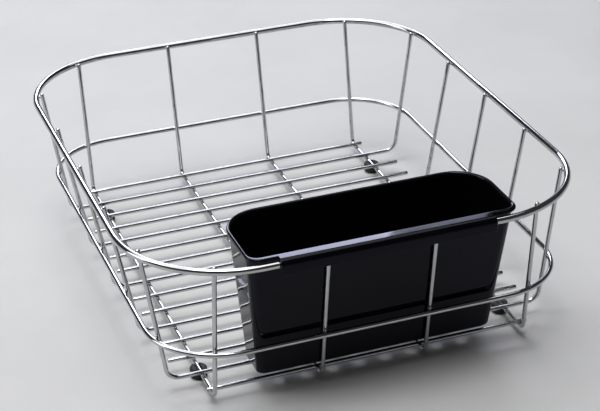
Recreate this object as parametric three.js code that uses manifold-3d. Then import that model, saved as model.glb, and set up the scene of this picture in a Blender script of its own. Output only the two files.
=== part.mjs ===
// Dish drying rack that stands in a sink bowl, with a cutlery caddy hooked over its front rim.
// Millimetres, +Z up, +X to the right, +Y to the back. The origin is the middle of the
// bounding box in plan, on the surface that the feet stand on.
//
// The basket is welded from round wire: a thick rim, a thinner hoop round the walls, U-shaped
// wires that cross each other under the floor and run up inside the rim, and straight floor bars.
// Welded wires are kept 0.3 mm apart so that every wire stays its own solid.
import * as THREE from 'three';
import { mergeVertices } from 'three/addons/utils/BufferGeometryUtils.js';
import Module from 'manifold-3d';

const wasm = await Module();
wasm.setup();

// ---------------------------------------------------------------- driving dimensions
const WELD_GAP = 0.3;

const RIM_X = 350, RIM_Y = 407.6;       // centre-line size of the rim
const RIM_CORNER_R = 85;               // centre-line corner radius of the rim
const RIM_WIRE_D = 5.2;

const HOOP_X = 322, HOOP_Y = 379.6;     // centre-line size of the hoop
const HOOP_CORNER_R = 58;
const HOOP_WIRE_D = 4;
const HOOP_DROP = 73.5;                // rim centre-line down to hoop centre-line

const WIRE_D = 3.4;                    // U wires and floor bars
const TIP_ABOVE_RIM_AXIS = 2;          // ends of the U wires, a little under the top of the rim wire
const FLOOR_DROP = 110;                // rim centre-line down to the axis of the floor bars
const FLOOR_PITCH = 24.2;              // floor bar spacing
const FLOOR_MIDDLE_Y = -2.6;           // the row of bars sits slightly forward of the rim's middle
const FLOOR_BARS_EACH_SIDE = 7;        // bars either side of the middle one
const CROSS_WIRE_EVERY = 3;            // every third floor bar is a U wire that climbs both walls
const CROSS_BEND_R = 10;
const LONG_WIRE_X = [-123, -41, 41, 123];
const LONG_BEND_R = 6;
const BAR_HALF = 143;                  // half length of a straight floor bar
const END_BAR_HALF = 128;              // the outermost bars are shorter, inside the rounded corners

const FOOT_X = 123, FOOT_BAR = 5.5;    // feet clip on the outer long wires, midway between the fifth and sixth bars
const FOOT_D = 13, FOOT_FACE_D = 10.5, FOOT_BELOW_WIRE = 5.6, FOOT_SLOT_CLEARANCE = 0.3;

const CADDY_X = 2.3;                   // the caddy sits a little to the right of the middle
const CADDY_HALF_X = 101.8;            // wall, at the top
const CADDY_BACK_Y = -126.5;           // wall, at the top
const CADDY_WALL = 1.8, CADDY_BASE = 2;
const CADDY_BASE_DROP = 104;           // rim centre-line down to the underside of the caddy
const CADDY_DRAFT_DEG = 5;             // side and back walls
const CADDY_BACK_CORNER_R = 28.8, CADDY_FRONT_CORNER_R = 8.8;
const FLANGE_TOP = 5, FLANGE_T = 2.1, FLANGE_EDGE_H = 3.3, FLANGE_OUT = 1.2;
const FLANGE_FRONT_Y = -201;
const LIP_HALF_X = 81.8;               // the hook lip rolls over the rim wire
const LIP_BOTTOM = -6;
const DRAIN_D = 6, DRAIN_COLUMNS = 8, DRAIN_PITCH_X = 21, DRAIN_ROWS_Y = [-165, -150];

// ---------------------------------------------------------------- materials
const chrome = () => new THREE.MeshStandardMaterial({ color: 0xd4d6d8, roughness: 0.12, metalness: 1 });
const blackPlastic = () => new THREE.MeshStandardMaterial({ color: 0x0b0b10, roughness: 0.14, metalness: 0 });
const greyRubber = () => new THREE.MeshStandardMaterial({ color: 0x2a2a2c, roughness: 0.75, metalness: 0 });

// ---------------------------------------------------------------- wire helpers
// A path that is known by its stations, so that straight runs need no extra sections.
class StationPath extends THREE.Curve {
  constructor(stations) { super(); this.stations = stations; }
  at(u) {
    const n = this.stations.length - 1;
    return this.stations[Math.max(0, Math.min(n, Math.round(u * n)))];
  }
  getPoint(t, out = new THREE.Vector3()) { return out.copy(this.at(t).p); }
  getPointAt(u, out = new THREE.Vector3()) { return out.copy(this.at(u).p); }
  getTangent(t, out = new THREE.Vector3()) { return out.copy(this.at(t).t); }
  getTangentAt(u, out = new THREE.Vector3()) { return out.copy(this.at(u).t); }
}

// Polyline with rounded corners as stations (point and tangent).
function roundedStations(points, radius, arcSegments) {
  const stations = [];
  const dirs = [];
  for (let i = 0; i + 1 < points.length; i++) dirs.push(points[i + 1].clone().sub(points[i]).normalize());
  stations.push({ p: points[0].clone(), t: dirs[0].clone() });
  for (let i = 1; i + 1 < points.length; i++) {
    const a = dirs[i - 1], b = dirs[i];
    const turn = Math.acos(THREE.MathUtils.clamp(a.dot(b), -1, 1));
    const cut = radius * Math.tan(turn / 2);
    const start = points[i].clone().addScaledVector(a, -cut);
    const inward = b.clone().addScaledVector(a, -a.dot(b)).normalize();
    const centre = start.clone().addScaledVector(inward, radius);
    for (let k = 0; k <= arcSegments; k++) {
      const ang = turn * k / arcSegments;
      const p = centre.clone().addScaledVector(inward, -radius * Math.cos(ang)).addScaledVector(a, radius * Math.sin(ang));
      const t = a.clone().multiplyScalar(Math.cos(ang)).addScaledVector(inward, Math.sin(ang));
      stations.push({ p, t });
    }
  }
  stations.push({ p: points[points.length - 1].clone(), t: dirs[dirs.length - 1].clone() });
  return stations;
}

function polygonShape(radius, sides) {
  const pts = [];
  for (let k = 0; k < sides; k++) {
    const a = 2 * Math.PI * k / sides;
    pts.push(new THREE.Vector2(radius * Math.cos(a), radius * Math.sin(a)));
  }
  return new THREE.Shape(pts);
}

// Open wire: a round section carried along its path, closed at both ends.
function openWire(stations, diameter, sides = 8) {
  const path = new StationPath(stations);
  return new THREE.ExtrudeGeometry(polygonShape(diameter / 2, sides), {
    steps: stations.length - 1, extrudePath: path, bevelEnabled: false, curveSegments: 1,
  });
}

// Closed loop of wire on a rounded rectangle.
function loopWire(sizeX, sizeY, cornerR, z, diameter, cornerSegments, sides) {
  const stations = [];
  const cx = sizeX / 2 - cornerR, cy = sizeY / 2 - cornerR;
  const corners = [[cx, -cy, -90], [cx, cy, 0], [-cx, cy, 90], [-cx, -cy, 180]];
  for (const [x, y, a0] of corners) {
    for (let k = 0; k <= cornerSegments; k++) {
      const a = THREE.MathUtils.degToRad(a0 + 90 * k / cornerSegments);
      stations.push({
        p: new THREE.Vector3(x + cornerR * Math.cos(a), y + cornerR * Math.sin(a), z),
        t: new THREE.Vector3(-Math.sin(a), Math.cos(a), 0),
      });
    }
  }
  stations.push({ p: stations[0].p.clone(), t: stations[0].t.clone() });
  return new THREE.TubeGeometry(new StationPath(stations), stations.length - 1, diameter / 2, sides, true);
}

// Half width, at a given offset from the middle, of a rounded rectangle inset by `inset`.
function halfAt(across, along, cornerR, inset, position) {
  const r = cornerR - inset, h = across / 2 - inset, l = along / 2 - inset;
  const over = Math.abs(position) - (l - r);
  return over <= 0 ? h : h - r + Math.sqrt(r * r - over * over);
}

const RIM_INSET = RIM_WIRE_D / 2 + WIRE_D / 2 + WELD_GAP;
const HOOP_INSET = HOOP_WIRE_D / 2 + WIRE_D / 2 + WELD_GAP;

// The wall of a U wire runs straight past the inside of the rim and the inside of the hoop.
function wallLine(across, along, hoopAcross, hoopAlong, position) {
  const atRim = halfAt(across, along, RIM_CORNER_R, RIM_INSET, position);
  const atHoop = halfAt(hoopAcross, hoopAlong, HOOP_CORNER_R, HOOP_INSET, position);
  const slope = (atRim - atHoop) / HOOP_DROP;
  return z => atRim + slope * z;
}

// ---------------------------------------------------------------- solids by manifold
function toManifold(geometry) {
  let g = geometry.clone();
  g.deleteAttribute('normal');
  g.deleteAttribute('uv');
  g = mergeVertices(g, 1e-4);
  return new wasm.Manifold(new wasm.Mesh({
    numProp: 3,
    vertProperties: Float32Array.from(g.attributes.position.array),
    triVerts: Uint32Array.from(g.index.array),
  }));
}

function toGeometry(solid) {
  const mesh = solid.getMesh();
  const g = new THREE.BufferGeometry();
  g.setAttribute('position', new THREE.BufferAttribute(Float32Array.from(mesh.vertProperties), 3));
  g.setIndex(new THREE.BufferAttribute(Uint32Array.from(mesh.triVerts), 1));
  g.computeVertexNormals();
  return g;
}

function block(x0, x1, y0, y1, z0, z1) {
  const g = new THREE.BoxGeometry(x1 - x0, y1 - y0, z1 - z0);
  g.translate((x0 + x1) / 2, (y0 + y1) / 2, (z0 + z1) / 2);
  return g;
}

// ---------------------------------------------------------------- the assembly
const rack = new THREE.Group();

function place(name, geometry, material) {
  const mesh = new THREE.Mesh(geometry, material);
  mesh.name = name;
  rack.add(mesh);
  return mesh;
}

// Rim and hoop.
place('top_rim', loopWire(RIM_X, RIM_Y, RIM_CORNER_R, 0, RIM_WIRE_D, 9, 12), chrome());
place('mid_ring', loopWire(HOOP_X, HOOP_Y, HOOP_CORNER_R, -HOOP_DROP, HOOP_WIRE_D, 8, 8), chrome());

// Cross wires: U shapes in planes of constant Y. Straight bars fill the pitch between them.
let crossIndex = 0, barIndex = 0;
for (let k = -FLOOR_BARS_EACH_SIDE; k <= FLOOR_BARS_EACH_SIDE; k++) {
  const y = FLOOR_MIDDLE_Y + k * FLOOR_PITCH;
  if (k % CROSS_WIRE_EVERY === 0) {
    const wall = wallLine(RIM_X, RIM_Y, HOOP_X, HOOP_Y, y);
    const xt = wall(TIP_ABOVE_RIM_AXIS), xb = wall(-FLOOR_DROP);
    const pts = [
      new THREE.Vector3(-xt, 0, TIP_ABOVE_RIM_AXIS), new THREE.Vector3(-xb, 0, -FLOOR_DROP),
      new THREE.Vector3(xb, 0, -FLOOR_DROP), new THREE.Vector3(xt, 0, TIP_ABOVE_RIM_AXIS),
    ];
    place(`cross_wire_${++crossIndex}`, openWire(roundedStations(pts, CROSS_BEND_R, 4), WIRE_D), chrome()).position.y = y;
  } else {
    const half = Math.abs(k) === FLOOR_BARS_EACH_SIDE ? END_BAR_HALF : BAR_HALF;
    const t = new THREE.Vector3(1, 0, 0);
    const bar = openWire([
      { p: new THREE.Vector3(-half, 0, -FLOOR_DROP), t }, { p: new THREE.Vector3(half, 0, -FLOOR_DROP), t },
    ], WIRE_D);
    place(`floor_bar_${++barIndex}`, bar, chrome()).position.y = y;
  }
}

// Long wires: U shapes in planes of constant X, just under the floor bars.
const LONG_Z = -(FLOOR_DROP + WIRE_D + WELD_GAP);
LONG_WIRE_X.forEach((x, i) => {
  const wall = wallLine(RIM_Y, RIM_X, HOOP_Y, HOOP_X, x);
  const yt = wall(TIP_ABOVE_RIM_AXIS), yb = wall(LONG_Z);
  const pts = [
    new THREE.Vector3(0, -yt, TIP_ABOVE_RIM_AXIS), new THREE.Vector3(0, -yb, LONG_Z),
    new THREE.Vector3(0, yb, LONG_Z), new THREE.Vector3(0, yt, TIP_ABOVE_RIM_AXIS),
  ];
  place(`long_wire_${i + 1}`, openWire(roundedStations(pts, LONG_BEND_R, 4), WIRE_D), chrome()).position.x = x;
});

// Feet: turned rubber studs with a slot that presses up over a long wire.
const footBottom = LONG_Z - WIRE_D / 2 - FOOT_BELOW_WIRE;
const footTop = LONG_Z + WIRE_D / 2 - 0.4;
function footGeometry() {
  const h = footTop - footBottom;
  const profile = [[0, 0], [FOOT_FACE_D / 2, 0], [FOOT_D / 2, 1.4], [FOOT_D / 2, h - 1], [FOOT_D / 2 - 1, h], [0, h]];
  const stud = new THREE.LatheGeometry(profile.map(([r, z]) => new THREE.Vector2(r, z)), 20);
  stud.rotateX(Math.PI / 2);
  const slotHalf = WIRE_D / 2 + FOOT_SLOT_CLEARANCE;
  const axisZ = LONG_Z - footBottom;
  const slot = new THREE.Shape();
  slot.moveTo(slotHalf, h + 1);
  slot.lineTo(-slotHalf, h + 1);
  slot.lineTo(-slotHalf, axisZ);
  for (let k = 1; k < 6; k++) {
    const a = Math.PI + Math.PI * k / 6;
    slot.lineTo(slotHalf * Math.cos(a), axisZ + slotHalf * Math.sin(a));
  }
  slot.lineTo(slotHalf, axisZ);
  const cutter = new THREE.ExtrudeGeometry(slot, { depth: FOOT_D + 4, steps: 1, bevelEnabled: false });
  cutter.rotateX(Math.PI / 2);
  cutter.translate(0, FOOT_D / 2 + 2, 0);
  return toGeometry(toManifold(stud).subtract(toManifold(cutter)));
}
const foot = footGeometry();
for (const [name, sx, side] of [['foot_front_left', -1, -1], ['foot_front_right', 1, -1], ['foot_back_left', -1, 1], ['foot_back_right', 1, 1]]) {
  place(name, foot.clone(), greyRubber()).position.set(sx * FOOT_X, FLOOR_MIDDLE_Y + side * FOOT_BAR * FLOOR_PITCH, footBottom);
}

// Cutlery caddy. In plan it has large back corners and small front corners; its front wall
// leans at the same angle as the front wall wires, the other walls have a moulding draft.
const frontWires = wallLine(RIM_Y, RIM_X, HOOP_Y, HOOP_X, 0);
const frontLean = (frontWires(0) - frontWires(-10)) / 10;
const frontWallY = z => -(frontWires(z) - WIRE_D / 2 * Math.hypot(1, frontLean) - 0.5);
const draft = Math.tan(THREE.MathUtils.degToRad(CADDY_DRAFT_DEG));
const wallTopZ = FLANGE_TOP;

function planOutline(x0, x1, y0, y1, frontR, backR, backSegs = 10, frontSegs = 5) {
  const pts = [];
  const arc = (cx, cy, r, a0, n) => {
    for (let k = 0; k <= n; k++) {
      const a = THREE.MathUtils.degToRad(a0 + 90 * k / n);
      pts.push(new THREE.Vector2(cx + r * Math.cos(a), cy + r * Math.sin(a)));
    }
  };
  arc(x1 - frontR, y0 + frontR, frontR, -90, frontSegs);
  arc(x1 - backR, y1 - backR, backR, 0, backSegs);
  arc(x0 + backR, y1 - backR, backR, 90, backSegs);
  arc(x0 + frontR, y0 + frontR, frontR, 180, frontSegs);
  return new THREE.Shape(pts);
}

// Tapered tub between two levels: an extruded plan whose every section is scaled to its level.
function tub(inset, z0, z1) {
  const wallAt = z => ({
    x0: CADDY_X - CADDY_HALF_X + draft * (wallTopZ - z) + inset,
    x1: CADDY_X + CADDY_HALF_X - draft * (wallTopZ - z) - inset,
    y0: frontWallY(z) + inset,
    y1: CADDY_BACK_Y - draft * (wallTopZ - z) - inset,
  });
  const top = wallAt(z1);
  const g = new THREE.ExtrudeGeometry(
    planOutline(top.x0, top.x1, top.y0, top.y1, CADDY_FRONT_CORNER_R - inset, CADDY_BACK_CORNER_R - inset),
    { depth: z1 - z0, steps: 1, bevelEnabled: false });
  g.translate(0, 0, z0);
  const pos = g.attributes.position;
  for (let i = 0; i < pos.count; i++) {
    const z = pos.getZ(i), w = wallAt(z);
    pos.setX(i, w.x0 + (pos.getX(i) - top.x0) / (top.x1 - top.x0) * (w.x1 - w.x0));
    pos.setY(i, w.y0 + (pos.getY(i) - top.y0) / (top.y1 - top.y0) * (w.y1 - w.y0));
  }
  return toManifold(g);
}

const baseZ = -CADDY_BASE_DROP;
const flangeUnder = FLANGE_TOP - FLANGE_T;
const flangePlan = planOutline(
  CADDY_X - CADDY_HALF_X - FLANGE_OUT, CADDY_X + CADDY_HALF_X + FLANGE_OUT,
  FLANGE_FRONT_Y, CADDY_BACK_Y + FLANGE_OUT, CADDY_FRONT_CORNER_R + FLANGE_OUT, CADDY_BACK_CORNER_R + FLANGE_OUT);
const flange = new THREE.ExtrudeGeometry(flangePlan, { depth: FLANGE_EDGE_H, steps: 1, bevelEnabled: false });
flange.translate(0, 0, FLANGE_TOP - FLANGE_EDGE_H);

// Hook lip: a section that rolls over the rim wire, concentric with it, and hangs down outside it.
const lipInnerR = RIM_WIRE_D / 2 + 0.3, lipOuterR = FLANGE_TOP;
function hookLip() {
  const section = [];
  const rimY = -RIM_Y / 2;
  section.push([FLANGE_FRONT_Y + 3, FLANGE_TOP]);
  for (let k = 0; k <= 6; k++) {
    const a = Math.PI / 2 * k / 6;
    section.push([rimY - lipOuterR * Math.sin(a), lipOuterR * Math.cos(a)]);
  }
  section.push([rimY - lipOuterR, LIP_BOTTOM], [rimY - lipInnerR, LIP_BOTTOM]);
  for (let k = 4; k >= 0; k--) {
    const a = Math.PI / 2 * k / 4;
    section.push([rimY - lipInnerR / Math.cos(Math.PI / 16) * Math.sin(a), lipInnerR / Math.cos(Math.PI / 16) * Math.cos(a)]);
  }
  section.push([FLANGE_FRONT_Y + 3, lipInnerR]);
  const shape = new THREE.Shape(section.map(([y, z]) => new THREE.Vector2(y, z)));
  const g = new THREE.ExtrudeGeometry(shape, { depth: 2 * LIP_HALF_X, steps: 1, bevelEnabled: false });
  g.applyMatrix4(new THREE.Matrix4().makeBasis(new THREE.Vector3(0, 1, 0), new THREE.Vector3(0, 0, 1), new THREE.Vector3(1, 0, 0)));
  g.translate(CADDY_X - LIP_HALF_X, 0, 0);
  return g;
}
const lipOuterY = -RIM_Y / 2 - lipOuterR;
let caddy = toManifold(flange)
  .subtract(toManifold(block(-200, 200, -230, frontWallY(flangeUnder), -20, flangeUnder)))
  .add(tub(0, baseZ, FLANGE_TOP - 0.5))
  .add(toManifold(hookLip()))
  .subtract(tub(CADDY_WALL, baseZ + CADDY_BASE, FLANGE_TOP + 1));
for (const y of DRAIN_ROWS_Y) {
  for (let c = 0; c < DRAIN_COLUMNS; c++) {
    const hole = new THREE.CylinderGeometry(DRAIN_D / 2, DRAIN_D / 2, CADDY_BASE + 2, 12);
    hole.rotateX(Math.PI / 2);
    hole.translate(CADDY_X + (c - (DRAIN_COLUMNS - 1) / 2) * DRAIN_PITCH_X, y, baseZ + CADDY_BASE / 2);
    caddy = caddy.subtract(toManifold(hole));
  }
}
place('cutlery_caddy', toGeometry(caddy), blackPlastic());

// Stand the feet on z = 0 and centre the bounding box in plan.
rack.position.set(0, -(lipOuterY + (RIM_Y + RIM_WIRE_D) / 2) / 2, -footBottom);

export default rack;
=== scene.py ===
import math

import bmesh
import bpy
import numpy as np
from mathutils import Matrix, Vector


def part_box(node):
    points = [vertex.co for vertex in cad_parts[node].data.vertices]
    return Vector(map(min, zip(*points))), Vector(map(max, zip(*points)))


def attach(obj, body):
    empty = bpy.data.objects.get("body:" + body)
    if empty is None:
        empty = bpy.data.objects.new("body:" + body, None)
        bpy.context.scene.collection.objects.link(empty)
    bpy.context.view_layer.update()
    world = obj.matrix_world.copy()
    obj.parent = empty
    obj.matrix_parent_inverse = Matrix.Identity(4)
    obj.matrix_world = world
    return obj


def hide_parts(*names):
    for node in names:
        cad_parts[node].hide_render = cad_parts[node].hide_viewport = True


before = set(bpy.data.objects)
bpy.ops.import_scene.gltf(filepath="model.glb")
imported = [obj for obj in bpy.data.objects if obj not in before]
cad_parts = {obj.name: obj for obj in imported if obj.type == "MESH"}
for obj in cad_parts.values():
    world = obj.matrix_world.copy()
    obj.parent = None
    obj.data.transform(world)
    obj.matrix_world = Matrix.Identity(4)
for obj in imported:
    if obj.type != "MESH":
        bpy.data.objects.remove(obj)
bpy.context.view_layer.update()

MM = 0.001

# ------------------------------------------------------------------ shared dimensions, millimetres
# The basket's own frame has its origin on the rim's centre line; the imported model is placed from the
# rim node's box, so everything below is in the basket's frame and is shifted once, when a mesh is made.
rim_lo, rim_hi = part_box("top_rim")
ORIGIN = (np.array(rim_lo) + np.array(rim_hi)) / 2 / MM

WELD_GAP = 0.3
RIM_X, RIM_Y, RIM_CORNER_R, RIM_D = 350.0, 407.6, 85.0, 5.2
HOOP_X, HOOP_Y, HOOP_CORNER_R, HOOP_D, HOOP_DROP = 322.0, 379.6, 58.0, 4.0, 73.5
WIRE_D, TIP_Z, FLOOR_DROP, PITCH, MIDDLE_Y = 3.4, 2.0, 110.0, 24.2, -2.6
BARS_EACH_SIDE, CROSS_EVERY = 7, 3
CROSS_BEND_R, LONG_BEND_R = 10.0, 6.0
LONG_X = (-123.0, -41.0, 41.0, 123.0)
BAR_HALF, END_BAR_HALF = 143.0, 128.0
LONG_Z = -(FLOOR_DROP + WIRE_D + WELD_GAP)
FOOT_X, FOOT_BAR, FOOT_D, FOOT_FACE_D, FOOT_BELOW = 123.0, 5.5, 13.0, 10.5, 5.6
RIM_INSET = RIM_D / 2 + WIRE_D / 2 + WELD_GAP
HOOP_INSET = HOOP_D / 2 + WIRE_D / 2 + WELD_GAP

CADDY_X, CADDY_HALF_X, CADDY_BACK_Y, CADDY_WALL, CADDY_BASE = 2.3, 101.8, -126.5, 1.8, 2.0
CADDY_BASE_Z, CADDY_DRAFT = -104.0, math.tan(math.radians(5))
BACK_R, FRONT_R = 28.8, 8.8
FLANGE_TOP, FLANGE_T, FLANGE_EDGE_H, FLANGE_OUT, FLANGE_FRONT_Y = 5.0, 2.1, 3.3, 1.2, -201.0
LIP_HALF_X, LIP_BOTTOM, LIP_INNER_R, LIP_OUTER_R = 81.8, -6.0, RIM_D / 2 + 0.3, 5.0


def half_at(across, along, corner_r, inset, position):
    r, h, l = corner_r - inset, across / 2 - inset, along / 2 - inset
    over = abs(position) - (l - r)
    return h if over <= 0 else h - r + math.sqrt(r * r - over * over)


def wall_line(across, along, hoop_across, hoop_along, position):
    at_rim = half_at(across, along, RIM_CORNER_R, RIM_INSET, position)
    at_hoop = half_at(hoop_across, hoop_along, HOOP_CORNER_R, HOOP_INSET, position)
    slope = (at_rim - at_hoop) / HOOP_DROP
    return lambda z: at_rim + slope * z


# ------------------------------------------------------------------ mesh helpers
def new_mesh(name, verts, faces, smooth=True):
    """Mesh object from vertices in the basket's own frame, in millimetres."""
    me = bpy.data.meshes.new(name)
    me.from_pydata([tuple((np.asarray(v, float) + ORIGIN) * MM) for v in verts], [], faces)
    me.validate()
    me.update()
    if smooth:
        me.polygons.foreach_set("use_smooth", [True] * len(me.polygons))
    ob = bpy.data.objects.new(name, me)
    bpy.context.scene.collection.objects.link(ob)
    return ob


def unit(v):
    v = np.asarray(v, float)
    return v / np.linalg.norm(v)


def rounded_stations(points, radius, segments):
    """Stations (point, tangent) along a polyline with rounded corners."""
    pts = [np.asarray(p, float) for p in points]
    dirs = [unit(b - a) for a, b in zip(pts, pts[1:])]
    out = [(pts[0], dirs[0])]
    for i in range(1, len(pts) - 1):
        a, b = dirs[i - 1], dirs[i]
        turn = math.acos(max(-1.0, min(1.0, float(a @ b))))
        start = pts[i] - a * radius * math.tan(turn / 2)
        inward = unit(b - a * (a @ b))
        centre = start + inward * radius
        for k in range(segments + 1):
            g = turn * k / segments
            out.append((centre - inward * radius * math.cos(g) + a * radius * math.sin(g), a * math.cos(g) + inward * math.sin(g)))
    out.append((pts[-1], dirs[-1]))
    return out


def split_runs(stations, longest):
    """Adds stations on long straight runs, so that the mesh has no very long faces."""
    out = [stations[0]]
    for (p, t), (q, u) in zip(stations, stations[1:]):
        d = np.linalg.norm(q - p)
        n = max(1, int(math.ceil(d / longest)))
        for k in range(1, n):
            out.append((p + (q - p) * k / n, unit(q - p)))
        out.append((q, u))
    return out


def swept(stations, radius, side_axis, sides, closed=False, edge_r=0.9, scales=None):
    """Round section carried along stations that lie in the plane normal to side_axis. Open ends are cut square with a rounded edge."""
    side = unit(side_axis)
    rings = []
    st = list(stations)
    if closed:
        for i, (p, t) in enumerate(st):
            rings.append((p, t, radius * (scales[i] if scales else 1.0)))
    else:
        e = edge_r
        (p0, t0), (p1, t1) = st[0], st[-1]
        for k in range(4, 0, -1):
            g = math.pi / 2 * k / 4
            rings.append((p0 + t0 * e * (1 - math.sin(g)), t0, radius - e + e * math.cos(g)))
        rings.append((p0 + t0 * e, t0, radius))
        for p, t in st[1:-1]:
            rings.append((p, t, radius))
        rings.append((p1 - t1 * e, t1, radius))
        for k in range(1, 5):
            g = math.pi / 2 * k / 4
            rings.append((p1 - t1 * e * (1 - math.sin(g)), t1, radius - e + e * math.cos(g)))
    verts, faces = [], []
    for p, t, r in rings:
        n = np.cross(side, t)
        for j in range(sides):
            a = 2 * math.pi * j / sides
            verts.append(p + r * (math.cos(a) * n + math.sin(a) * side))
    m = len(rings)
    for i in range(m if closed else m - 1):
        a, b = i * sides, ((i + 1) % m) * sides
        for j in range(sides):
            k = (j + 1) % sides
            faces.append((a + j, a + k, b + k, b + j))
    if not closed:
        faces.append(tuple(reversed(range(sides))))
        faces.append(tuple((m - 1) * sides + j for j in range(sides)))
    # outward faces: flip everything if the first quad points inward
    v = [np.asarray(verts[i]) for i in faces[0]]
    normal = np.cross(v[1] - v[0], v[2] - v[0])
    if normal @ (sum(v) / 4 - rings[0][0]) < 0:
        faces = [tuple(reversed(f)) for f in faces]
    return verts, faces


def loop_stations(size_x, size_y, corner_r, z, segments, longest):
    """Closed rounded rectangle, anticlockwise, starting at the middle of the back."""
    cx, cy = size_x / 2 - corner_r, size_y / 2 - corner_r
    st = [(np.array([0, size_y / 2, z]), np.array([-1.0, 0, 0]))]
    for x, y, a0 in ((-cx, cy, 90), (-cx, -cy, 180), (cx, -cy, 270), (cx, cy, 0)):
        for k in range(segments + 1):
            a = math.radians(a0 + 90 * k / segments)
            st.append((np.array([x + corner_r * math.cos(a), y + corner_r * math.sin(a), z]), np.array([-math.sin(a), math.cos(a), 0])))
    st.append((np.array([0, size_y / 2, z]), np.array([-1.0, 0, 0])))
    return split_runs(st, longest)[:-1]


def loop_with_seam(size_x, size_y, corner_r, z, segments, diameter, bulge):
    """The loop's two ends are butt welded at the back: a low dressed bead, then plated over."""
    st = loop_stations(size_x, size_y, corner_r, z, segments, 22.0)
    first = st[0]
    extra = []
    for dx in (-5, -3.2, -2.2, -1.6, -1.1, -0.7, -0.35, 0, 0.35, 0.7, 1.1, 1.6, 2.2, 3.2, 5):
        extra.append((first[0] + np.array([-dx, 0, 0]), first[1], dx))
    scales = [1.0] * (len(st) - 1)
    out, sc = [], []
    for p, t, dx in extra[7:]:
        out.append((p, t)); sc.append(1 + 2 * bulge / diameter * math.exp(-(dx / 1.0) ** 2))
    for s, k in zip(st[1:], scales):
        out.append(s); sc.append(k)
    for p, t, dx in extra[:7]:
        out.append((p, t)); sc.append(1 + 2 * bulge / diameter * math.exp(-(dx / 1.0) ** 2))
    return out, sc


# ------------------------------------------------------------------ weld fillets
def nets(f, lo, hi, step):
    """Closed surface where f is zero, by surface nets on a small grid, then pulled onto the surface."""
    axes = [np.arange(l, h + step * 0.5, step) for l, h in zip(lo, hi)]
    g = np.stack(np.meshgrid(*axes, indexing="ij"), -1)
    val = f(g.reshape(-1, 3)).reshape(g.shape[:3])
    inside = val < 0
    nx, ny, nz = inside.shape
    corners = [(i, j, k) for i in (0, 1) for j in (0, 1) for k in (0, 1)]
    cnt = sum(inside[i:nx - 1 + i, j:ny - 1 + j, k:nz - 1 + k].astype(int) for i, j, k in corners)
    cells = np.argwhere((cnt > 0) & (cnt < 8))
    index = -np.ones((nx - 1, ny - 1, nz - 1), int)
    index[tuple(cells.T)] = np.arange(len(cells))
    edges = [(a, b) for a in range(8) for b in range(a + 1, 8) if sum(x != y for x, y in zip(corners[a], corners[b])) == 1]
    cv = np.stack([val[tuple((cells + c).T)] for c in corners], 1)
    cp = np.stack([g[tuple((cells + c).T)] for c in corners], 1)
    acc, num = np.zeros((len(cells), 3)), np.zeros(len(cells))
    for a, b in edges:
        cross = (cv[:, a] < 0) != (cv[:, b] < 0)
        t = np.where(cross, cv[:, a] / np.where(cross, cv[:, a] - cv[:, b], 1), 0)
        acc += np.where(cross[:, None], cp[:, a] + t[:, None] * (cp[:, b] - cp[:, a]), 0)
        num += cross
    verts = acc / num[:, None]
    for _ in range(3):
        h = 1e-3
        grad = np.stack([(f(verts + h * e) - f(verts - h * e)) / (2 * h) for e in np.eye(3)], 1)
        verts = verts - 0.8 * grad * (f(verts) / np.maximum((grad ** 2).sum(1), 1e-6))[:, None]
    faces = []
    for ax in range(3):
        u, v = (ax + 1) % 3, (ax + 2) % 3
        sl0 = [slice(None)] * 3; sl1 = [slice(None)] * 3
        sl0[ax] = slice(0, -1); sl1[ax] = slice(1, None)
        s0, s1 = inside[tuple(sl0)], inside[tuple(sl1)]
        for e in np.argwhere(s0 != s1):
            if e[u] == 0 or e[v] == 0 or e[u] >= inside.shape[u] - 1 or e[v] >= inside.shape[v] - 1:
                continue
            q = []
            for du, dv in ((0, 0), (-1, 0), (-1, -1), (0, -1)):
                c = e.copy(); c[u] += du; c[v] += dv
                q.append(int(index[tuple(c)]))
            if min(q) < 0:
                continue
            faces.append(tuple(q) if not s0[tuple(e)] else tuple(reversed(q)))
    return verts, faces


def weld(pa, ta, ra, pb, tb, rb, end=None, blend=2.0, reach=2.7, sink=0.05):
    """Fillet between two wires that touch: pa, pb are the nearest points of their axes. It starts just under both surfaces,
    and stops short of `end`, the cut end of the second wire."""
    pa, pb, ta, tb = (np.asarray(v, float) for v in (pa, pb, unit(ta), unit(tb)))
    n = unit(pb - pa)
    mid = ((pa + n * ra) + (pb - n * rb)) / 2

    def f(p):
        q = p + mid
        da = q - pa; da = np.linalg.norm(da - (da @ ta)[:, None] * ta, axis=1) - (ra - sink)
        db = q - pb; db = np.linalg.norm(db - (db @ tb)[:, None] * tb, axis=1) - (rb - sink)
        h = np.clip(1 - np.abs(da - db) / blend, 0, 1)
        s = np.minimum(da, db) - h * h * blend / 4
        s = np.maximum(s, np.linalg.norm(p, axis=1) - reach)
        return s if end is None else np.maximum(s, (end - q) @ tb + 1.35)
    # the grid is nudged until every edge of the patch has exactly two faces
    for nudge in range(12):
        e = reach + 0.5 + 0.029 * nudge
        v, fc = nets(f, (-e,) * 3, (e,) * 3, 0.34)
        count = {}
        for q in fc:
            for a, b in zip(q, q[1:] + q[:1]):
                key = (min(a, b), max(a, b))
                count[key] = count.get(key, 0) + 1
        if all(n == 2 for n in count.values()):
            break
    return v + mid, fc


def weld_group(name, contacts, **kw):
    verts, faces, base = [], [], 0
    for c in contacts:
        v, f = weld(*c, **kw)
        verts.extend(v); faces.extend(tuple(i + base for i in q) for q in f)
        base += len(v)
    return new_mesh(name, verts, faces)


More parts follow.
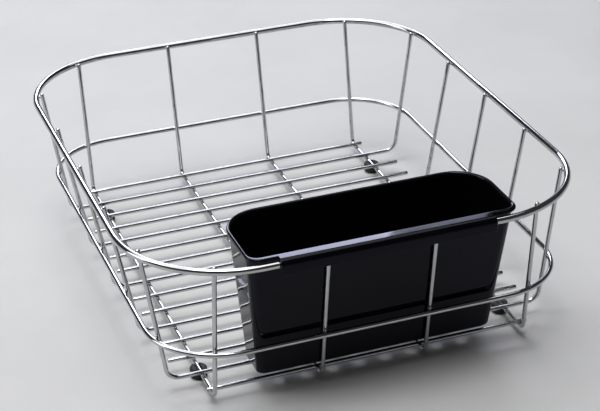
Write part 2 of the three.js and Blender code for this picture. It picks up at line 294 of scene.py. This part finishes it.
def nearest_on_loop(loop, point, direction):
    """Nearest points between a closed wire's centre line and a straight wire: (loop point, tangent, line point)."""
    best = None
    for (p, t), (q, _) in zip(loop, loop[1:] + loop[:1]):
        d1, d2 = q - p, direction
        a, b, c = d1 @ d1, d1 @ d2, d2 @ d2
        w = p - point
        den = a * c - b * b
        s = min(1, max(0, (b * (d2 @ w) - c * (d1 @ w)) / den)) if den > 1e-9 else 0
        x = p + d1 * s
        y = point + d2 * ((x - point) @ d2) / c
        dist = np.linalg.norm(x - y)
        if best is None or dist < best[0]:
            best = (dist, x, unit(d1), y)
    return best[1:]


# ------------------------------------------------------------------ materials
class Nodes:
    def __init__(self, name):
        self.mat = bpy.data.materials.new(name)
        self.mat.use_nodes = True
        self.t = self.mat.node_tree
        self.bsdf = self.t.nodes["Principled BSDF"]

    def new(self, kind, **props):
        n = self.t.nodes.new(kind)
        for k, v in props.items():
            setattr(n, k, v)
        return n

    def link(self, a, b):
        self.t.links.new(a, b)

    def coords(self):
        return self.new("ShaderNodeTexCoord").outputs["Object"]

    def noise(self, vector, scale, detail=3, roughness=0.5, stretch=None):
        if stretch:
            m = self.new("ShaderNodeMapping")
            m.inputs["Scale"].default_value = stretch
            self.link(vector, m.inputs["Vector"])
            vector = m.outputs["Vector"]
        n = self.new("ShaderNodeTexNoise")
        n.inputs["Scale"].default_value = scale
        n.inputs["Detail"].default_value = detail
        n.inputs["Roughness"].default_value = roughness
        self.link(vector, n.inputs["Vector"])
        return n.outputs["Fac"]

    def ramp(self, fac, stops, smooth=True):
        r = self.new("ShaderNodeValToRGB")
        r.color_ramp.interpolation = "EASE" if smooth else "LINEAR"
        while len(r.color_ramp.elements) < len(stops):
            r.color_ramp.elements.new(0.5)
        for e, (pos, col) in zip(r.color_ramp.elements, stops):
            e.position = pos
            e.color = (*col, 1) if hasattr(col, "__len__") else (col, col, col, 1)
        self.link(fac, r.inputs["Fac"])
        return r.outputs["Color"]

    def bump(self, height, distance, strength=1.0, normal=None):
        b = self.new("ShaderNodeBump")
        b.inputs["Strength"].default_value = strength
        b.inputs["Distance"].default_value = distance
        self.link(height, b.inputs["Height"])
        if normal is not None:
            self.link(normal, b.inputs["Normal"])
        return b.outputs["Normal"]


def chrome_material():
    """Bright chrome plate on drawn wire: slight tone change, faint water marks, a little orange peel."""
    n = Nodes("chrome_plate")
    c = n.coords()
    tone = n.noise(c, 60, 4, 0.6)
    n.link(n.ramp(tone, [(0.3, (0.50, 0.505, 0.515)), (0.7, (0.60, 0.605, 0.61))]), n.bsdf.inputs["Base Color"])
    spots = n.noise(c, 420, 5, 0.65)
    n.link(n.ramp(spots, [(0.35, 0.035), (0.62, 0.06), (0.8, 0.16)]), n.bsdf.inputs["Roughness"])
    n.bsdf.inputs["Metallic"].default_value = 1.0
    peel = n.noise(c, 260, 2, 0.5)
    n.link(n.bump(peel, 0.00003, 0.6), n.bsdf.inputs["Normal"])
    return n.mat


def weld_material():
    """The same plate over a weld, a little rougher, with a base colour a little darker than the wire's: painted shade
    in the creases between wires.
    """
    n = Nodes("chrome_weld")
    c = n.coords()
    tone = n.noise(c, 500, 3, 0.6)
    # the darker base colour range is painted shade for the creases where the welds sit
    n.link(n.ramp(tone, [(0.3, (0.46, 0.465, 0.475)), (0.7, (0.58, 0.585, 0.59))]), n.bsdf.inputs["Base Color"])
    n.link(n.ramp(n.noise(c, 600, 3, 0.6), [(0.3, 0.07), (0.75, 0.15)]), n.bsdf.inputs["Roughness"])
    n.bsdf.inputs["Metallic"].default_value = 1.0
    n.link(n.bump(n.noise(c, 500, 2, 0.5), 0.00002, 0.4), n.bsdf.inputs["Normal"])
    return n.mat


def caddy_material():
    """High gloss black moulding: faint tone change, hairline wipe marks, a slow ripple in the reflections."""
    n = Nodes("gloss_black_plastic")
    c = n.coords()
    n.link(n.ramp(n.noise(c, 35, 4, 0.6), [(0.3, (0.0026, 0.0026, 0.0038)), (0.75, (0.0050, 0.0050, 0.0070))]), n.bsdf.inputs["Base Color"])
    wipe = n.noise(c, 70, 5, 0.65, stretch=(1.0, 1.0, 9.0))
    n.link(n.ramp(wipe, [(0.35, 0.045), (0.6, 0.075), (0.85, 0.17)]), n.bsdf.inputs["Roughness"])
    n.bsdf.inputs["IOR"].default_value = 1.49
    n.bsdf.inputs["Specular IOR Level"].default_value = 0.3
    n.bsdf.inputs["Specular Tint"].default_value = (0.80, 0.82, 1.0, 1.0)   # the black has a faint lavender sheen
    ripple = n.bump(n.noise(c, 22, 2, 0.5), 0.0004, 0.35)
    n.link(n.bump(n.noise(c, 900, 3, 0.5), 0.000003, 0.5, ripple), n.bsdf.inputs["Normal"])
    return n.mat


def rubber_material():
    n = Nodes("black_rubber")
    c = n.coords()
    n.link(n.ramp(n.noise(c, 300, 5, 0.6), [(0.3, (0.016, 0.016, 0.017)), (0.75, (0.035, 0.035, 0.036))]), n.bsdf.inputs["Base Color"])
    n.link(n.ramp(n.noise(c, 700, 4, 0.6), [(0.3, 0.55), (0.8, 0.8)]), n.bsdf.inputs["Roughness"])
    n.link(n.bump(n.noise(c, 2500, 4, 0.6), 0.00006, 0.8), n.bsdf.inputs["Normal"])
    return n.mat


CHROME, WELD, BLACK, RUBBER = chrome_material(), weld_material(), caddy_material(), rubber_material()


def dress(ob, material, slot, body, *nodes):
    ob.data.materials.append(material)
    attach(ob, body)
    if nodes:
        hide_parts(*nodes)
    return ob


# ------------------------------------------------------------------ the basket
rim_st, rim_sc = loop_with_seam(RIM_X, RIM_Y, RIM_CORNER_R, 0.0, 24, RIM_D, 0.14)
v, f = swept(rim_st, RIM_D / 2, (0, 0, 1), 32, closed=True, scales=rim_sc)
dress(new_mesh("rim_wire", v, f), CHROME, "chrome_wire", "basket", "top_rim")
hoop_st, hoop_sc = loop_with_seam(HOOP_X, HOOP_Y, HOOP_CORNER_R, -HOOP_DROP, 20, HOOP_D, 0.10)
v, f = swept(hoop_st, HOOP_D / 2, (0, 0, 1), 24, closed=True, scales=hoop_sc)
dress(new_mesh("hoop_wire", v, f), CHROME, "chrome_wire", "basket", "mid_ring")

rim_contacts, hoop_contacts, floor_contacts = [], [], []


def climb(pts):
    """The welds that a wall of a U wire makes with the rim and the hoop. pts: tip, then the foot of the wall."""
    tip, low = np.asarray(pts[0], float), np.asarray(pts[1], float)
    d = unit(low - tip)
    for loop, r, out in ((rim_st, RIM_D / 2, rim_contacts), (hoop_st, HOOP_D / 2, hoop_contacts)):
        x, t, y = nearest_on_loop(loop, tip, d)
        out.append((x, t, r, y, d, WIRE_D / 2, tip if out is rim_contacts else None))


cross_i = bar_i = 0
bar_spans = []
for k in range(-BARS_EACH_SIDE, BARS_EACH_SIDE + 1):
    y = MIDDLE_Y + k * PITCH
    if k % CROSS_EVERY == 0:
        cross_i += 1
        wall = wall_line(RIM_X, RIM_Y, HOOP_X, HOOP_Y, y)
        xt, xb = wall(TIP_Z), wall(-FLOOR_DROP)
        pts = [(-xt, y, TIP_Z), (-xb, y, -FLOOR_DROP), (xb, y, -FLOOR_DROP), (xt, y, TIP_Z)]
        st = split_runs(rounded_stations(pts, CROSS_BEND_R, 10), 30.0)
        v, f = swept(st, WIRE_D / 2, (0, 1, 0), 20, edge_r=1.3)
        dress(new_mesh(f"cross_wire_{cross_i}_round", v, f), CHROME, "chrome_wire", "basket", f"cross_wire_{cross_i}")
        climb([pts[0], pts[1]]); climb([pts[3], pts[2]])
        bar_spans.append((y, xb))
    else:
        bar_i += 1
        half = END_BAR_HALF if abs(k) == BARS_EACH_SIDE else BAR_HALF
        st = split_runs([(np.array([-half, y, -FLOOR_DROP]), np.array([1.0, 0, 0])), (np.array([half, y, -FLOOR_DROP]), np.array([1.0, 0, 0]))], 30.0)
        v, f = swept(st, WIRE_D / 2, (0, 0, 1), 20)
        dress(new_mesh(f"floor_bar_{bar_i}_round", v, f), CHROME, "chrome_wire", "basket", f"floor_bar_{bar_i}")
        bar_spans.append((y, half))

for i, x in enumerate(LONG_X):
    wall = wall_line(RIM_Y, RIM_X, HOOP_Y, HOOP_X, x)
    yt, yb = wall(TIP_Z), wall(LONG_Z)
    pts = [(x, -yt, TIP_Z), (x, -yb, LONG_Z), (x, yb, LONG_Z), (x, yt, TIP_Z)]
    st = split_runs(rounded_stations(pts, LONG_BEND_R, 10), 30.0)
    v, f = swept(st, WIRE_D / 2, (1, 0, 0), 20, edge_r=1.3)
    dress(new_mesh(f"long_wire_{i + 1}_round", v, f), CHROME, "chrome_wire", "basket", f"long_wire_{i + 1}")
    climb([pts[0], pts[1]]); climb([pts[3], pts[2]])
    for y, half in bar_spans:
        floor_contacts.append((np.array([x, y, LONG_Z]), (0, 1, 0), WIRE_D / 2, np.array([x, y, -FLOOR_DROP]), (1, 0, 0), WIRE_D / 2))

dress(weld_group("rim_welds", rim_contacts, blend=2.2, reach=3.0), WELD, "chrome_wire", "basket")
dress(weld_group("hoop_welds", hoop_contacts, blend=2.0, reach=2.8), WELD, "chrome_wire", "basket")
dress(weld_group("floor_welds", floor_contacts, blend=2.0, reach=2.6), WELD, "chrome_wire", "basket")


# ------------------------------------------------------------------ feet
def foot_mesh(name, cx, cy):
    bottom = LONG_Z - WIRE_D / 2 - FOOT_BELOW
    top = LONG_Z + WIRE_D / 2 - 0.4
    h = top - bottom
    R, F = FOOT_D / 2, FOOT_FACE_D / 2
    prof = [(0.0, 0.5), (2.4, 0.5), (2.7, 0.35), (3.0, 0.05), (3.3, 0.0), (F - 0.5, 0.0), (F - 0.2, 0.06), (F, 0.2), (R - 0.35, 1.15), (R - 0.1, 1.45), (R, 1.9),
            (R, 3.0), (R - 0.12, 3.15), (R - 0.12, 3.45), (R, 3.6), (R, h - 1.4), (R - 0.15, h - 0.75), (R - 0.6, h - 0.2), (R - 1.3, h), (0.0, h)]
    n = 40
    verts, faces = [], []
    verts.append((cx, cy, bottom + prof[0][1]))
    for r, z in prof[1:-1]:
        for j in range(n):
            a = 2 * math.pi * j / n
            verts.append((cx + r * math.cos(a), cy + r * math.sin(a), bottom + z))
    verts.append((cx, cy, bottom + prof[-1][1]))
    m = len(prof) - 2
    for j in range(n):
        faces.append((0, 1 + (j + 1) % n, 1 + j))
    for i in range(m - 1):
        for j in range(n):
            a, b = 1 + i * n, 1 + (i + 1) * n
            faces.append((a + j, a + (j + 1) % n, b + (j + 1) % n, b + j))
    last = len(verts) - 1
    for j in range(n):
        faces.append((1 + (m - 1) * n + j, 1 + (m - 1) * n + (j + 1) % n, last))
    ob = new_mesh(name, verts, faces)
    # slot for the wire: a round-bottomed channel, a little tighter than the wire's own width at the mouth
    s = WIRE_D / 2 + 0.3
    out = [(s + 1.1, h + 1.2), (s, h - 0.4), (s, LONG_Z - bottom)]
    for k in range(1, 12):
        a = -math.pi * k / 12
        out.append((s * math.cos(a), LONG_Z - bottom + s * math.sin(a)))
    out += [(-s, LONG_Z - bottom), (-s, h - 0.4), (-s - 1.1, h + 1.2)]
    cv = [(cx + x, cy + sy * (R + 2), bottom + z) for sy in (-1, 1) for x, z in out]
    c = len(out)
    cf = [tuple(range(c)), tuple(reversed(range(c, 2 * c)))] + [(i, i + c, (i + 1) % c + c, (i + 1) % c) for i in range(c)]
    cutter = new_mesh("cutter", cv, cf, smooth=False)
    bm = bmesh.new(); bm.from_mesh(cutter.data); bmesh.ops.recalc_face_normals(bm, faces=bm.faces); bm.to_mesh(cutter.data); bm.free()
    cut(ob, cutter)
    ob.data.set_sharp_from_angle(angle=math.radians(38))
    return ob


def cut(ob, cutter, operation="DIFFERENCE"):
    m = ob.modifiers.new("cut", "BOOLEAN")
    m.operation, m.solver, m.object = operation, "EXACT", cutter
    bpy.context.view_layer.update()
    ev = ob.evaluated_get(bpy.context.evaluated_depsgraph_get())
    me = bpy.data.meshes.new_from_object(ev)
    old = ob.data
    ob.modifiers.clear()
    ob.data = me
    me.name = ob.name
    bpy.data.meshes.remove(old)
    cm = cutter.data
    bpy.data.objects.remove(cutter)
    bpy.data.meshes.remove(cm)
    me.materials.clear()
    me.polygons.foreach_set("use_smooth", [True] * len(me.polygons))


for node, sx, side in (("foot_front_left", -1, -1), ("foot_front_right", 1, -1), ("foot_back_left", -1, 1), ("foot_back_right", 1, 1)):
    dress(foot_mesh(node + "_rubber", sx * FOOT_X, MIDDLE_Y + side * FOOT_BAR * PITCH), RUBBER, "foot_rubber", "basket", node)


# ------------------------------------------------------------------ cutlery caddy
front_wires = wall_line(RIM_Y, RIM_X, HOOP_Y, HOOP_X, 0.0)
front_lean = (front_wires(0.0) - front_wires(-10.0)) / 10


def front_wall_y(z):
    return -(front_wires(z) - WIRE_D / 2 * math.hypot(1, front_lean) - 0.5)


def wall_at(z, inset):
    return (CADDY_X - CADDY_HALF_X + CADDY_DRAFT * (FLANGE_TOP - z) + inset,
            CADDY_X + CADDY_HALF_X - CADDY_DRAFT * (FLANGE_TOP - z) - inset,
            front_wall_y(z) + inset,
            CADDY_BACK_Y - CADDY_DRAFT * (FLANGE_TOP - z) - inset)


# The plan's corner sizes shrink with the section, as an extruded plan that is scaled level by level.
TOP_BOX = wall_at(FLANGE_TOP, 0.0)


def corner_sizes(z, inset):
    x0, x1, y0, y1 = wall_at(z, inset)
    kx = (x1 - x0) / (TOP_BOX[1] - TOP_BOX[0] - 2 * inset)
    ky = (y1 - y0) / (TOP_BOX[3] - TOP_BOX[2] - 2 * inset)
    return (max(FRONT_R - inset, 1.0) * kx, max(FRONT_R - inset, 1.0) * ky), ((BACK_R - inset) * kx, (BACK_R - inset) * ky)


FRONT_SEGS, BACK_SEGS = 12, 26


def ring(box, front, back, z):
    """Plan outline in a fixed order of points, from the middle of the front, anticlockwise. z is a number or a function of y."""
    x0, x1, y0, y1 = box
    (fx, fy), (bx, by) = front, back
    xm = (x0 + x1) / 2
    pts = [(xm + (x1 - fx - xm) * k / 5, y0) for k in range(5)]
    for k in range(FRONT_SEGS + 1):
        a = math.radians(-90 + 90 * k / FRONT_SEGS)
        pts.append((x1 - fx + fx * math.cos(a), y0 + fy + fy * math.sin(a)))
    ya, yb = y0 + fy, y1 - by
    side = [ya + (yb - ya) * k / 8 for k in range(1, 8)]
    pts += [(x1, y) for y in side]
    for k in range(BACK_SEGS + 1):
        a = math.radians(90 * k / BACK_SEGS)
        pts.append((x1 - bx + bx * math.cos(a), y1 - by + by * math.sin(a)))
    pts += [(x1 - bx + (x0 + bx - x1 + bx) * k / 8, y1) for k in range(1, 8)]
    for k in range(BACK_SEGS + 1):
        a = math.radians(90 + 90 * k / BACK_SEGS)
        pts.append((x0 + bx + bx * math.cos(a), y1 - by + by * math.sin(a)))
    pts += [(x0, y) for y in reversed(side)]
    for k in range(FRONT_SEGS + 1):
        a = math.radians(180 + 90 * k / FRONT_SEGS)
        pts.append((x0 + fx + fx * math.cos(a), y0 + fy + fy * math.sin(a)))
    pts += [(x0 + fx + (xm - x0 - fx) * k / 5, y0) for k in range(1, 5)]
    return [(x, y, z(y) if callable(z) else z) for x, y in pts]


def smooth01(t):
    t = min(1.0, max(0.0, t))
    return t * t * (3 - 2 * t)


def bmesh_object(bm, name):
    me = bpy.data.meshes.new(name)
    bm.to_mesh(me)
    bm.free()
    me.polygons.foreach_set("use_smooth", [True] * len(me.polygons))
    ob = bpy.data.objects.new(name, me)
    bpy.context.scene.collection.objects.link(ob)
    return ob


def in_frame(points):
    return [tuple((np.array(p) + ORIGIN) * MM) for p in points]


def caddy_tub():
    """Walls, base and flange as one loft, from the middle of the underside round the rim to the floor inside."""
    bm = bmesh.new()

    def wall_ring(z, inset):
        return ring(wall_at(z, inset), *corner_sizes(z, inset), z)

    zb = CADDY_BASE_Z
    rows = []
    r_out = 3.0
    for k in range(7):
        g = math.pi / 2 * k / 6
        rows.append(wall_ring(zb + r_out * (1 - math.cos(g)), r_out * (1 - math.sin(g))))
    for z in (-85.0, -65.0, -45.0, -25.0, -8.0, -1.0):
        rows.append(wall_ring(z, 0.0))

    # the edge of the flange is deep at the sides and back, and thins towards the front, where it lies on the wires' tips
    def under(y):
        return FLANGE_TOP - FLANGE_T + (FLANGE_T - FLANGE_EDGE_H) * smooth01((y + 192.0) / 14.0)

    fx0, fx1 = CADDY_X - CADDY_HALF_X - FLANGE_OUT, CADDY_X + CADDY_HALF_X + FLANGE_OUT
    fy0, fy1 = FLANGE_FRONT_Y, CADDY_BACK_Y + FLANGE_OUT

    def flange_ring(d, z):
        return ring((fx0 + d, fx1 - d, fy0 + d, fy1 - d), (FRONT_R + FLANGE_OUT - d,) * 2, (BACK_R + FLANGE_OUT - d,) * 2, z)

    fillet = 0.5
    top_ring = wall_ring(FLANGE_TOP - FLANGE_T, 0.0)
    rows.append([(x, y, under(y) - fillet) for x, y, z in top_ring])
    r_low, r_high = 0.55, 1.2
    low = flange_ring(r_low, under)
    for k in (1, 2, 3):
        g = math.pi / 2 * k / 3
        rows.append([(x + (lx - x) / max(1e-6, math.hypot(lx - x, ly - y)) * min(fillet * 0.6, math.hypot(lx - x, ly - y) * 0.8) * (1 - math.cos(g)),
                      y + (ly - y) / max(1e-6, math.hypot(lx - x, ly - y)) * min(fillet * 0.6, math.hypot(lx - x, ly - y) * 0.8) * (1 - math.cos(g)),
                      under(y) - fillet * (1 - math.sin(g))) for (x, y, z), (lx, ly, lz) in zip(top_ring, low)])
    for k in range(5):
        g = math.pi / 2 * k / 4
        rows.append(flange_ring(r_low * (1 - math.sin(g)), lambda y: under(y) + r_low * (1 - math.cos(g))))
    for k in range(7):
        g = math.pi / 2 * k / 6
        rows.append(flange_ring(r_high * (1 - math.cos(g)), FLANGE_TOP - r_high + r_high * math.sin(g)))
    r_in = 1.7
    for k in range(9):
        g = math.pi / 2 * k / 8
        z = FLANGE_TOP - r_in * (1 - math.cos(g))
        rows.append([(x, y, z) for x, y, _ in wall_ring(z, CADDY_WALL - r_in * (1 - math.sin(g)))])
    for z in (-5.0, -25.0, -45.0, -65.0, -85.0):
        rows.append(wall_ring(z, CADDY_WALL))
    r_floor, zf = 4.0, zb + CADDY_BASE
    for k in range(8):
        g = math.pi / 2 * k / 7
        rows.append(wall_ring(zf + r_floor * (1 - math.sin(g)), CADDY_WALL + r_floor * (1 - math.cos(g))))
    loops = [[bm.verts.new(p) for p in in_frame(row)] for row in rows]
    n = len(loops[0])
    for a, b in zip(loops, loops[1:]):
        for j in range(n):
            k = (j + 1) % n
            bm.faces.new((a[j], a[k], b[k], b[j]))
    bm.faces.new(list(reversed(loops[0])))
    bm.faces.new(loops[-1])
    bmesh.ops.recalc_face_normals(bm, faces=bm.faces)
    return bmesh_object(bm, "caddy")


def hook_lip():
    """The lip as a bent strip: flat from the flange, rolled round the rim wire, then straight down; rounded ends and free edge."""
    t = LIP_OUTER_R - LIP_INNER_R
    rim_y = -RIM_Y / 2

    def outline(d):
        ro, ri = LIP_OUTER_R - d, LIP_INNER_R + d
        pts = [(FLANGE_FRONT_Y + 2.2, ro)]
        for k in range(13):
            g = math.pi / 2 * k / 12
            pts.append((rim_y - ro * math.sin(g), ro * math.cos(g)))
        pts.append((rim_y - ro, -2.5))
        h = t / 2 - d
        e = min(h, 0.95)
        zt = LIP_BOTTOM + d
        for k in range(1, 7):
            g = math.pi / 2 * k / 6
            pts.append((rim_y - ro + e * (1 - math.cos(g)), zt + e * (1 - math.sin(g))))
        for k in range(6):
            g = math.pi / 2 * k / 6
            pts.append((rim_y - ri - e * (1 - math.sin(g)), zt + e * (1 - math.cos(g))))
        pts.append((rim_y - ri, zt + e))
        pts.append((rim_y - ri, -2.5))
        for k in range(9):
            g = math.pi / 2 * (8 - k) / 8
            pts.append((rim_y - ri * math.sin(g), ri * math.cos(g)))
        pts.append((FLANGE_FRONT_Y + 2.2, ri))
        return pts

    e = 0.8
    stations = [(-LIP_HALF_X + e * (1 - math.cos(math.pi / 2 * k / 5)), e * (1 - math.sin(math.pi / 2 * k / 5))) for k in range(6)]
    stations += [(-LIP_HALF_X + 2 * LIP_HALF_X * k / 10, 0.0) for k in range(1, 10)]
    stations += [(-x, d) for x, d in reversed(stations[:6])]
    bm = bmesh.new()
    loops = [[bm.verts.new(p) for p in in_frame([(CADDY_X + x, y, z) for y, z in outline(d)])] for x, d in stations]
    n = len(loops[0])
    for a, b in zip(loops, loops[1:]):
        for j in range(n):
            k = (j + 1) % n
            bm.faces.new((a[j], a[k], b[k], b[j]))
    bm.faces.new(loops[0])
    bm.faces.new(list(reversed(loops[-1])))
    bmesh.ops.recalc_face_normals(bm, faces=bm.faces)
    return bmesh_object(bm, "lip")


def weighted_normals(ob):
    m = ob.modifiers.new("normals", "WEIGHTED_NORMAL")
    m.mode, m.weight, m.keep_sharp = "FACE_AREA", 50, True
    bpy.context.view_layer.update()
    ev = ob.evaluated_get(bpy.context.evaluated_depsgraph_get())
    me = bpy.data.meshes.new_from_object(ev)
    old = ob.data
    ob.modifiers.clear()
    ob.data = me
    bpy.data.meshes.remove(old)


caddy = caddy_tub()
cut(caddy, hook_lip(), "UNION")

# drain holes, each with a countersunk edge on both faces
hv, hf, base = [], [], 0
N = 24
for y in (-165.0, -150.0):
    for c in range(8):
        cx = CADDY_X + (c - 3.5) * 21.0
        levels = [(-1.0, 4.0), (0.0, 3.45), (0.45, 3.0), (CADDY_BASE - 0.45, 3.0), (CADDY_BASE, 3.45), (CADDY_BASE + 1.0, 4.0)]
        for z, r in levels:
            hv += [(cx + r * math.cos(2 * math.pi * j / N), y + r * math.sin(2 * math.pi * j / N), CADDY_BASE_Z + z) for j in range(N)]
        for i in range(len(levels) - 1):
            for j in range(N):
                a, b = base + i * N, base + (i + 1) * N
                hf.append((a + j, a + (j + 1) % N, b + (j + 1) % N, b + j))
        hf.append(tuple(reversed(range(base, base + N))))
        hf.append(tuple(range(base + (len(levels) - 1) * N, base + len(levels) * N)))
        base += len(levels) * N
cut(caddy, new_mesh("drain_cutter", hv, hf, smooth=False))
caddy.name = "caddy_moulding"
caddy.data.set_sharp_from_angle(angle=math.radians(35))
weighted_normals(caddy)
caddy.data.name = "caddy_moulding"
dress(caddy, BLACK, "caddy_plastic", "caddy", "cutlery_caddy")

# ------------------------------------------------------------------ floor, light, camera
def floor_material():
    n = Nodes("pale_floor")
    c = n.coords()
    n.link(n.ramp(n.noise(c, 6, 4, 0.6), [(0.3, (0.56, 0.56, 0.557)), (0.7, (0.59, 0.59, 0.587))]), n.bsdf.inputs["Base Color"])
    n.bsdf.inputs["Roughness"].default_value = 0.75
    return n.mat


bm = bmesh.new()
bmesh.ops.create_grid(bm, x_segments=4, y_segments=4, size=40.0)
me = bpy.data.meshes.new("floor")
bm.to_mesh(me); bm.free()
floor = bpy.data.objects.new("floor", me)
bpy.context.scene.collection.objects.link(floor)
me.materials.append(floor_material())


def softbox(name, size, location, target, power, colour=(1, 1, 1)):
    l = bpy.data.lights.new(name, "AREA")
    l.shape, l.size, l.size_y, l.energy, l.color = "RECTANGLE", size[0], size[1], power, colour
    ob = bpy.data.objects.new(name, l)
    bpy.context.scene.collection.objects.link(ob)
    ob.location = location
    ob.rotation_euler = (Vector(target) - Vector(location)).to_track_quat("-Z", "Y").to_euler()
    return ob


softbox("overhead", (2.0, 1.7), (-0.2, 0.15, 1.4), (0, 0, 0.05), 15)
softbox("back_window", (1.1, 0.5), (0.32, 2.0, 1.19), (0, -0.1, 0.1), 12.5, (0.80, 0.82, 1.0))
softbox("back_window_edge", (0.24, 0.5), (1.0, 2.0, 1.19), (0.68, -0.1, 0.1), 0.9, (0.80, 0.82, 1.0))
softbox("left_fill", (0.7, 1.5), (-1.6, 0.4, 1.0), (0, 0, 0.05), 7)

# A wide soft skylight keeps the floor evenly pale at any distance.
sky = bpy.data.lights.new("skylight", "SUN")
sky.energy, sky.angle = 0.85, math.radians(28)
sky_ob = bpy.data.objects.new("skylight", sky)
bpy.context.scene.collection.objects.link(sky_ob)
sky_ob.rotation_euler = Vector((0.12, 0.05, -1)).to_track_quat("-Z", "Y").to_euler()

# The room beyond the floor: pale at the horizon, dark overhead, so the chrome keeps its dark lines.
world = bpy.data.worlds.new("studio")
world.use_nodes = True
wt = world.node_tree
direction = wt.nodes.new("ShaderNodeTexCoord")
split = wt.nodes.new("ShaderNodeSeparateXYZ")
shade = wt.nodes.new("ShaderNodeValToRGB")
wt.links.new(direction.outputs["Generated"], split.inputs[0])
wt.links.new(split.outputs["Z"], shade.inputs["Fac"])
shade.color_ramp.elements.new(0.5)
for i, (pos, c) in enumerate(((0.0, 0.36), (0.05, 0.30), (0.16, 0.06))):
    shade.color_ramp.elements[i].position = pos
    shade.color_ramp.elements[i].color = (c, c, c * 1.02, 1)
wt.links.new(shade.outputs["Color"], wt.nodes["Background"].inputs["Color"])
wt.nodes["Background"].inputs["Strength"].default_value = 1.0
bpy.context.scene.world = world
bpy.context.scene.view_settings.view_transform = "Standard"
bpy.context.scene.view_settings.look = "Medium High Contrast"

# The camera stands where the photograph was taken from, and looks a little lower so that the feet are in view.
EYE = Vector((-0.425605, -1.239200, 0.616079)) + Vector(ORIGIN * MM)
AIM = Vector((0.008, 0.0, -0.070)) + Vector(ORIGIN * MM)
ROLL = math.radians(-1.695)
forward = (AIM - EYE).normalized()
right = forward.cross(Vector((0, 0, 1))).normalized()
up = right.cross(forward)
r2 = right * math.cos(ROLL) + up * math.sin(ROLL)
u2 = -right * math.sin(ROLL) + up * math.cos(ROLL)
cam_data = bpy.data.cameras.new("camera")
cam_data.sensor_fit = "HORIZONTAL"
cam_data.sensor_width = 36.0
cam_data.lens = 117.5 * 0.93
camera = bpy.data.objects.new("camera", cam_data)
bpy.context.scene.collection.objects.link(camera)
m = Matrix((r2, u2, -forward)).transposed().to_4x4()
m.translation = EYE
camera.matrix_world = m
bpy.context.scene.camera = camera
